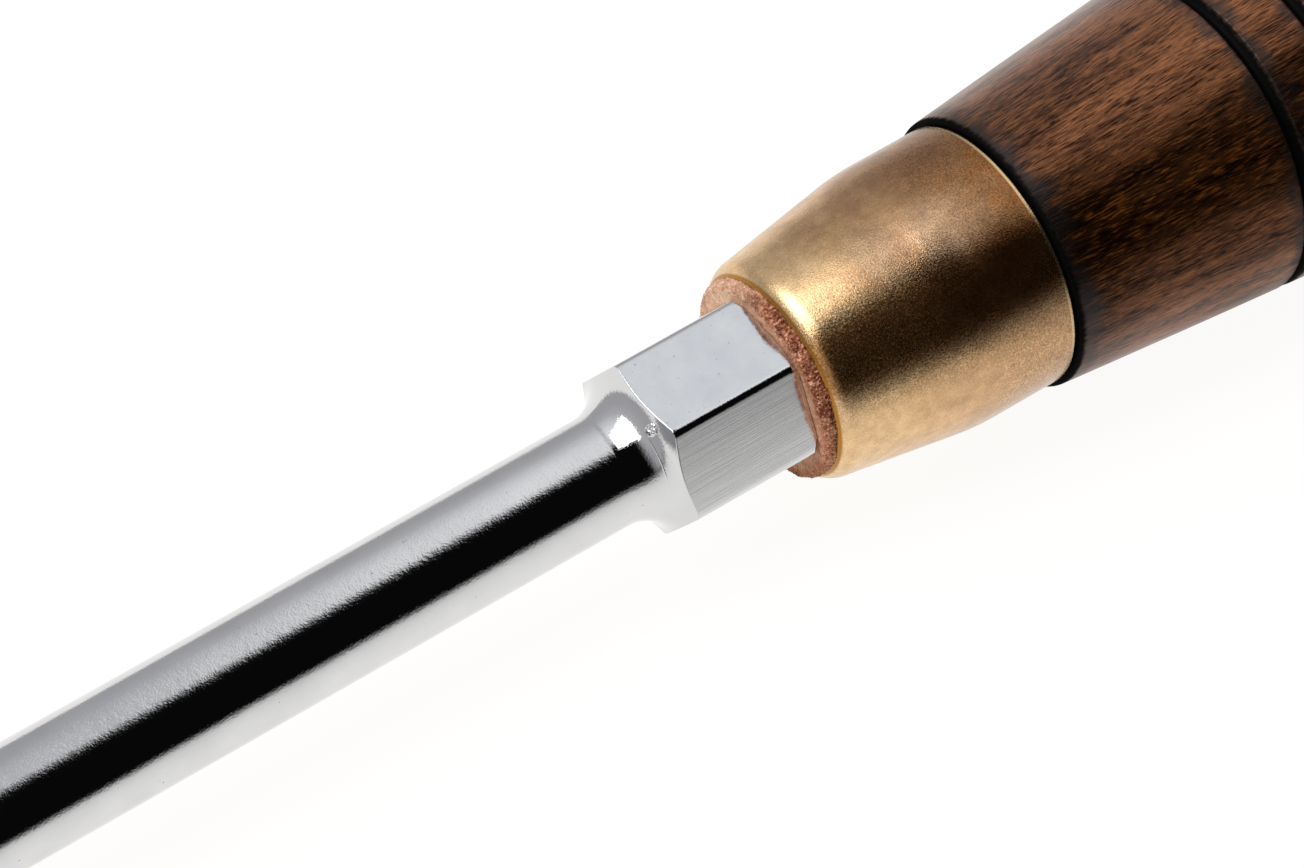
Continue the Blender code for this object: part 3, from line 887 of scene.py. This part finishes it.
def wood_finish():
    """Dark stained wood with pores and orange flecks along the grain, burnt at the rings and the front."""
    f = Finish("stained_wood")
    bands = f.noise(0.6, detail=3.0, roughness=0.55, distortion=0.4, stretch=(1, 1, 0.10))
    grain = f.noise(4.0, detail=4.0, roughness=0.75, distortion=0.15, stretch=(1, 1, 0.03))
    dashes = f.noise(6.8, detail=3.0, roughness=0.6, stretch=(1, 1, 0.04), shift=(3, 1, 0))
    pores = f.remap(f.noise(7.2, stretch=(1, 1, 0.04), shift=(0, 5, 2)), 0.54, 0.64)
    streaks = f.weighted(grain, bands, 0.6)
    figure = f.ramp(bands, [(0.38, (0.62, 0.59, 0.57)), (0.60, (1.24, 1.22, 1.18))])

    # Sides of the handle
    crown = f.facing(330)
    near_side = f.facing(318)
    lower_side = f.facing(263)
    lowest = f.facing(240)
    hidden_side = f.facing(143)
    far_shoulder = f.facing(45)
    far_crown = f.facing(36)

    # The burnt front and rings, with soft smoke beside them
    z = f.wavy(f.axis("Z"), 0.09, 2.5, stretch=(1, 1, 0.2))
    drift = f.wavy(f.axis("Z"), 0.7, 0.45, 0.6)
    burnt = f.remap(z, -22.90, -22.35)
    char = f.times(f.remap(drift, -25.2, -22.6), f.remap(crown, 0.1, 0.9, 0.50, 0.97))
    for ring in RING_DISTANCES:
        ring_z = (GRIP_FRONT_Z - ring) * MM
        burnt = f.math("MAXIMUM", burnt, f.band(z, ring_z, 0.36, 0.92))
        char = f.math("MAXIMUM", char, f.times(f.band(drift, ring_z, 0.5, 2.4), 0.85))

    # The stain, darker on the near side and the front of the grip as painted shade, and paler with less sheen
    # and more lacquer on the hidden side and the rear of the grip
    paler_far_side_and_rear_grip = f.math("MAXIMUM", f.remap(hidden_side, -0.25, 0.35), f.remap(z, -48.0, -58.0))
    stain = f.ramp(streaks, WOOD_STAINS)
    flecked = f.mix(f.times(f.remap(dashes, 0.52, 0.64), 0.9), stain, (0.15, 0.047, 0.007, 1))
    porous = f.mix(f.times(pores, 0.85), flecked, (0.003, 0.0015, 0.001, 1))
    figured = f.tinted(porous, (1.0, figure), (paler_far_side_and_rear_grip, (2.8, 2.7, 2.6, 1)))
    charred = f.mix(f.times(char, 0.8), figured, (0.004, 0.0035, 0.003, 1))
    f.set(Base_Color=f.mix(burnt, charred, (0.0015, 0.0012, 0.001, 1)))
    f.set(Roughness=f.remap(burnt, 0.0, 1.0, 0.30, 0.6), IOR=2.5, Specular_IOR_Level=1.0)

    # The warm sheen of the fibres, stronger on the far top as painted sheen, weaker low on the near side as
    # painted shade, and stronger on the lowest side as a painted reflection of the floor
    painted_sheen_far_top = f.remap(far_shoulder, 0.72, 0.93, 0.62, 1.0)
    underside = f.remap(lower_side, 0.35, 0.85)
    # Smoke by the ferrule, partly real and partly painted shade low on the near side
    smoke_and_painted_shade = f.times(f.remap(z, -33.0, -23.0, 0.0, 0.75), f.remap(underside, 0.0, 1.0, 0.4, 1.0))
    fibres = f.math("SUBTRACT", f.weighted(streaks, dashes, 0.55), f.times(pores, 0.10))
    sheen = f.tinted(
        f.ramp(fibres, WOOD_SHEENS),
        (0.6, figure),
        (1.0, f.times(painted_sheen_far_top, f.remap(underside, 0.0, 1.0, 1.0, 0.64))),
        # Stronger on the lowest side, a painted reflection of the floor
        (1.0, f.remap(lowest, 0.87, 0.95, 1.0, 1.8)),
        (paler_far_side_and_rear_grip, (0.32, 0.35, 0.40, 1)),
        (smoke_and_painted_shade, (0.30, 0.29, 0.29, 1)),
    )
    smoky = f.mix(f.times(char, 0.9), sheen, (0.10, 0.10, 0.105, 1))
    f.set(Specular_Tint=f.mix(burnt, smoky, (0.012, 0.012, 0.012, 1)))

    # The lacquer, burnt off at the rings and the front, with its weight set by side as painted sheen: thin on
    # the near side, heavier on the far top, the hidden side and the rear of the grip, and lighter on the
    # lowest side
    coat = f.math("MAXIMUM", f.remap(near_side, 0.88, 0.45, 0.10, 0.65), f.times(paler_far_side_and_rear_grip, 0.65))
    topped = f.math("ADD", coat, f.remap(far_crown, 0.93, 0.99, 0.0, 0.35))
    lacquer = f.times(topped, f.remap(lowest, 0.93, 0.99, 1.0, 0.7))
    unburnt = f.times(f.remap(burnt, 0.0, 1.0, 1.0, 0.03), f.remap(char, 0.0, 1.0, 1.0, 0.5))
    f.set(Coat_Weight=f.times(lacquer, unburnt), Coat_Roughness=0.22)
    f.set(Normal=f.bump(f.math("SUBTRACT", grain, pores), 6e-6))
    return f.material


def steel_finish():
    """Turning rings on a cloudy steel."""
    f = Finish("turned_steel")
    turning = f.node("ShaderNodeTexNoise", Scale=5.0, Detail=3.0)
    turning.noise_dimensions = "1D"
    f.feed(turning, "W", f.across())
    rings = f.weighted(turning.outputs["Fac"], f.noise(0.8, detail=4.0, roughness=0.6), 0.6)
    tint = f.ramp(rings, [(0.35, (0.42, 0.42, 0.43)), (0.65, (0.66, 0.66, 0.665))])
    f.set(Base_Color=tint, Metallic=1.0, Roughness=f.remap(rings, 0.35, 0.65, 0.20, 0.36))
    f.set(Normal=f.bump(turning.outputs["Fac"], 1.2e-5))
    return f.material


def dress(obj, *materials):
    obj.data.materials.clear()
    for material in materials:
        obj.data.materials.append(material)


dress(blade, chrome_finish(), polished_flat_finish(), ground_flat_finish())
dress(washer, leather_finish("tan_leather", WASHER_RADIUS))
dress(ferrule, brass_finish())
dress(handle, wood_finish())
dress(butt_washer, leather_finish("butt_leather", BUTT_WASHER_RADIUS))
dress(cap, steel_finish())

# The flats of the bolster are ground and polished in turn
POLISHED, GROUND = 1, 2
to_tool = tool.inverted()
for face in blade.data.polygons:
    normal = to_tool.to_3x3() @ face.normal
    if on_a_flat(to_tool @ face.center, normal):
        flat = round((atan2(normal.y, normal.x) - FLAT_TURNS[0]) / SECTOR)
        face.material_index = POLISHED if flat % 2 else GROUND


# Floor, room, studio light and camera
FLOOR_SIZE = 16
FLOOR_MATT = (0.85, 0.85, 0.85, 1)
FLOOR_WHITE = (1.06, 1.05, 1.035, 1)
FLOOR_WHITE_SHARE = 0.90


def floor_finish():
    """White to the camera, and in reflections dimmer towards the front and beside the handle."""
    f = Finish("floor_paper")
    rays = f.node("ShaderNodeLightPath").outputs
    on_floor = f.node("ShaderNodeSeparateXYZ", f.node("ShaderNodeTexCoord").outputs["Object"]).outputs
    towards_front = f.remap(on_floor["Y"], -0.150, -0.010, 0.12, 1.0, "LINEAR")
    by_the_handle = f.remap(on_floor["X"], 0.069, 0.079, 1.0, 0.75)
    level = f.math("MAXIMUM", f.times(towards_front, by_the_handle), rays["Is Camera Ray"])
    matt = f.node("ShaderNodeBsdfDiffuse", Color=FLOOR_MATT)
    white = f.node("ShaderNodeEmission", Color=FLOOR_WHITE, Strength=level)
    seen = f.math("MAXIMUM", rays["Is Camera Ray"], rays["Is Glossy Ray"])
    share = f.times(seen, FLOOR_WHITE_SHARE)
    paper = f.node("ShaderNodeMixShader", share, matt.outputs[0], white.outputs[0])
    f.feed(f.tree.nodes["Material Output"], "Surface", paper.outputs[0])
    f.tree.nodes.remove(f.shader)
    return f.material


bpy.ops.object.select_all(action="DESELECT")
bpy.ops.mesh.primitive_plane_add(size=FLOOR_SIZE, location=(0, 0, 0))
floor = bpy.context.object
floor.name = "floor"
dress(floor, floor_finish())

# Greys of the room, from the horizon to straight up
ROOM_GREYS = (
    (0.0, (0.44, 0.44, 0.46)),
    (0.30, (0.45, 0.45, 0.47)),
    (0.56, (0.53, 0.535, 0.55)),
    (0.76, (0.74, 0.75, 0.77)),
    (0.90, (0.94, 0.95, 0.97)),
    (1.0, (1.0, 1.01, 1.03)),
)
ROOM_DIM = (0.45, 0.46, 0.48, 1)
ROOM_DARK = (0.003, 0.003, 0.003, 1)
BACKDROP_WHITE = (1, 1, 1, 1)


def make_room():
    """A pale room, brighter overhead beyond the softbox, with a dim strip and a dark camera side."""
    world = bpy.context.scene.world or bpy.data.worlds.new("studio")
    bpy.context.scene.world = world
    world.use_nodes = True
    world.node_tree.nodes.clear()
    room = Nodes(world.node_tree)
    way = room.node("ShaderNodeSeparateXYZ", room.node("ShaderNodeTexCoord").outputs["Generated"]).outputs
    strip = room.times(room.remap(way["X"], 0.12, 0.20), room.remap(way["X"], 0.23, 0.30, 0.85, 0.0))
    overhead = room.mix(strip, room.ramp(way["Z"], ROOM_GREYS), ROOM_DIM)
    forward = room.math("SUBTRACT", room.times(way["Z"], -0.30), way["Y"])
    slant = room.remap(way["X"], 0.20, 0.42, 0.22, -0.16, "LINEAR")
    in_front = room.remap(room.math("ADD", forward, slant), -0.15, 0.06)
    camera_side = room.times(in_front, room.remap(way["X"], -0.85, -0.55))
    sky = room.node("ShaderNodeBackground", room.mix(camera_side, overhead, ROOM_DARK))
    backdrop = room.node("ShaderNodeBackground", BACKDROP_WHITE)
    camera_ray = room.node("ShaderNodeLightPath").outputs["Is Camera Ray"]
    seen = room.node("ShaderNodeMixShader", camera_ray, sky.outputs[0], backdrop.outputs[0])
    room.node("ShaderNodeOutputWorld", seen.outputs[0])


def axes_matrix(x_way, y_way, z_way):
    return Matrix((x_way, y_way, z_way)).transposed().to_4x4()


# One large tilted softbox, up on the left
SOFTBOX_WAY = (-0.285, 0.122, 0.934)
SOFTBOX_SIDES = ((0.684, -0.150, 0.714), (-0.040, 0.981, 0.245))
SOFTBOX_SIZE = (0.98, 0.71)
SOFTBOX_ENERGY = 7.0


def make_softbox():
    light = bpy.data.lights.new("softbox", "AREA")
    light.shape = "RECTANGLE"
    light.size, light.size_y = SOFTBOX_SIZE
    light.energy = SOFTBOX_ENERGY
    softbox = bpy.data.objects.new("softbox", light)
    bpy.context.scene.collection.objects.link(softbox)
    long_side, short_side = (Vector(side).normalized() for side in SOFTBOX_SIDES)
    centre = Matrix.Translation(bolster_back + Vector(SOFTBOX_WAY))
    softbox.matrix_world = centre @ axes_matrix(long_side, short_side, long_side.cross(short_side))


# The camera looks down the tool from the tip side, with the photo's long lens
IMAGE_WIDTH = 1304
FOCAL_PIXELS = 6000
SENSOR_WIDTH = 36
VIEW_LEAN = radians(22.05)
VIEW_TURN = radians(29.47)
FRONT_OF_BOLSTER = (-0.00089, 0.00127, 0.45429)


def make_camera():
    tilt = atan2(butt_way.z, butt_way.x)
    heading = -acos(cos(VIEW_LEAN) * cos(VIEW_TURN) / cos(tilt))
    axis_rise = atan2(sin(tilt), -cos(tilt) * sin(heading))
    pitch = atan2(cos(VIEW_LEAN) * sin(VIEW_TURN), sin(VIEW_LEAN)) - axis_rise
    right = Vector((cos(heading), sin(heading), 0))
    ahead = Vector((-sin(heading) * cos(pitch), cos(heading) * cos(pitch), -sin(pitch)))
    above = right.cross(ahead)
    aim = bolster_back - butt_way * BOLSTER_LENGTH
    across, down, away = FRONT_OF_BOLSTER
    lens = bpy.data.cameras.new("camera")
    lens.sensor_width = SENSOR_WIDTH
    lens.lens = FOCAL_PIXELS / IMAGE_WIDTH * SENSOR_WIDTH
    camera = bpy.data.objects.new("camera", lens)
    bpy.context.scene.collection.objects.link(camera)
    eye = Matrix.Translation(aim - right * across + above * down - ahead * away)
    camera.matrix_world = eye @ axes_matrix(right, above, -ahead)
    bpy.context.scene.camera = camera


make_room()
make_softbox()
make_camera()
bpy.context.scene.view_settings.view_transform = "Standard"
